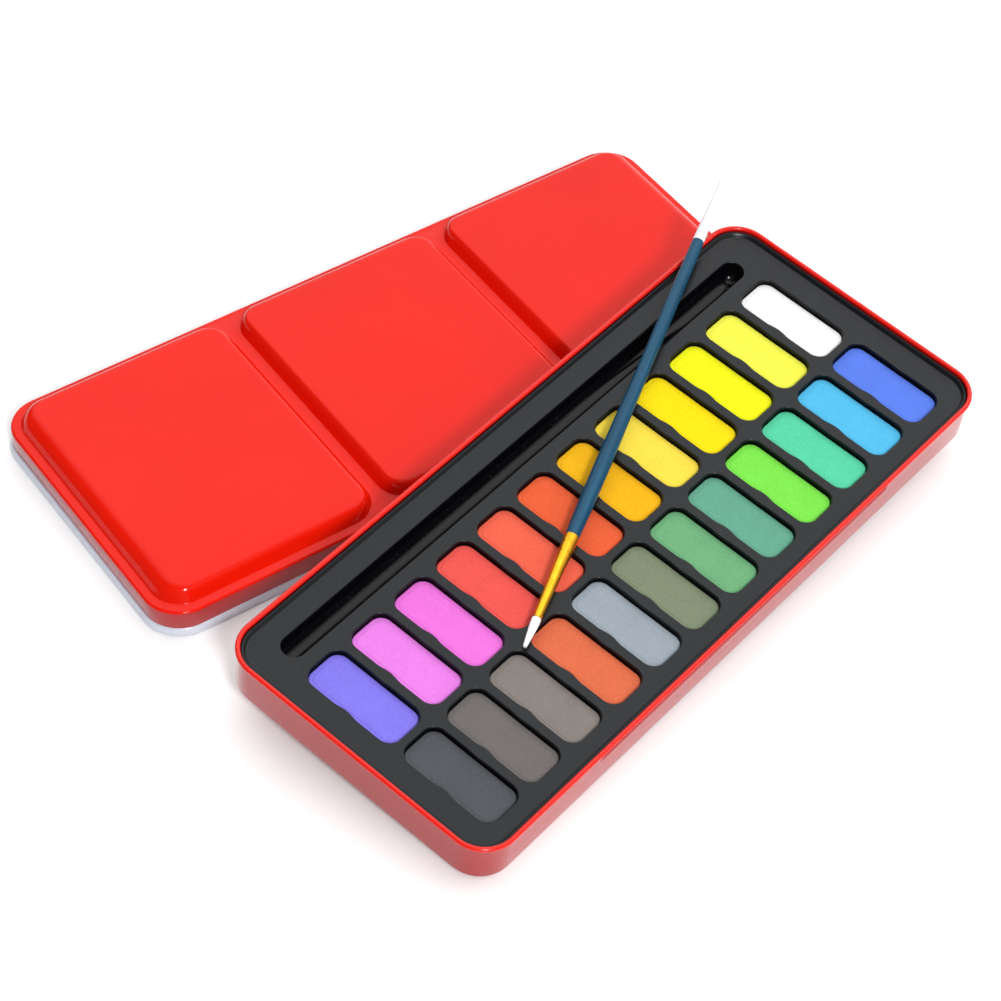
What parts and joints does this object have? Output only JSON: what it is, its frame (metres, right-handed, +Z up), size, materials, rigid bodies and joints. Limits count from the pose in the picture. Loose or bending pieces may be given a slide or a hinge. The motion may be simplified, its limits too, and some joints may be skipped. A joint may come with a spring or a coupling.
{
  "type": "watercolor pan set",
  "caption": "Flat red metal tin of pressed watercolour pans in a black moulded insert, leaning on its slip lid, with a round brush lying across the pans.",
  "frame": {"origin": "centre of the whole set's bounding box, on the surface it stands on", "axes": "+Z up, +X along the tin's long side from the violet pan to the white pan, +Y from the tin to its lid"},
  "size_m": [0.2477, 0.216, 0.0383],
  "materials": {
    "tin_lacquer": "gloss",
    "lid_lacquer": "gloss",
    "insert_plastic": "satin",
    "handle_lacquer": "gloss lacquer",
    "ferrule_metal": "polished",
    "hair": "matt",
    "paint_violet": "matt pressed powder",
    "paint_lilac": "matt pressed powder",
    "paint_pink": "matt pressed powder",
    "paint_rose_red": "matt pressed powder",
    "paint_scarlet": "matt pressed powder",
    "paint_vermilion": "matt pressed powder",
    "paint_ochre": "matt pressed powder",
    "paint_golden_yellow": "matt pressed powder",
    "paint_yellow": "matt pressed powder",
    "paint_lemon": "matt pressed powder",
    "paint_pale_lemon": "matt pressed powder",
    "paint_white": "matt pressed powder",
    "paint_black": "matt pressed powder",
    "paint_charcoal": "matt pressed powder",
    "paint_umber": "matt pressed powder",
    "paint_rust": "matt pressed powder",
    "paint_grey": "matt pressed powder",
    "paint_olive": "matt pressed powder",
    "paint_viridian": "matt pressed powder",
    "paint_deep_green": "matt pressed powder",
    "paint_green": "matt pressed powder",
    "paint_turquoise": "matt pressed powder",
    "paint_sky_blue": "matt pressed powder",
    "paint_blue": "matt pressed powder"
  },
  "bodies": {
    "lid": {"lid": "lid_lacquer"},
    "tin": {"tin_base": "tin_lacquer"},
    "insert": {"pan_insert": "insert_plastic", "cake_a01": "paint_violet", "cake_a02": "paint_lilac", "cake_a03": "paint_pink", "cake_a04": "paint_rose_red", "cake_a05": "paint_scarlet", "cake_a06": "paint_vermilion", "cake_a07": "paint_ochre", "cake_a08": "paint_golden_yellow", "cake_a09": "paint_yellow", "cake_a10": "paint_lemon", "cake_a11": "paint_pale_lemon", "cake_a12": "paint_white", "cake_b01": "paint_black", "cake_b02": "paint_charcoal", "cake_b03": "paint_umber", "cake_b04": "paint_rust", "cake_b05": "paint_grey", "cake_b06": "paint_olive", "cake_b07": "paint_viridian", "cake_b08": "paint_deep_green", "cake_b09": "paint_green", "cake_b10": "paint_turquoise", "cake_b11": "paint_sky_blue", "cake_b12": "paint_blue"},
    "brush": {"brush_handle": "handle_lacquer", "brush_ferrule": "ferrule_metal", "brush_hairs": "hair"}
  },
  "joints": [
    {"name": "tin_lift", "type": "slide", "parent": "lid", "child": "tin", "axis": [0, 0, 1], "range_m": [0, 0.06]},
    {"name": "insert_lift", "type": "slide", "parent": "tin", "child": "insert", "axis": [-0.0311, -0.1196, 0.9923], "range_m": [0, 0.03]},
    {"name": "brush_lift", "type": "slide", "parent": "insert", "child": "brush", "axis": [0, 0, 1], "range_m": [0, 0.05]}
  ]
}
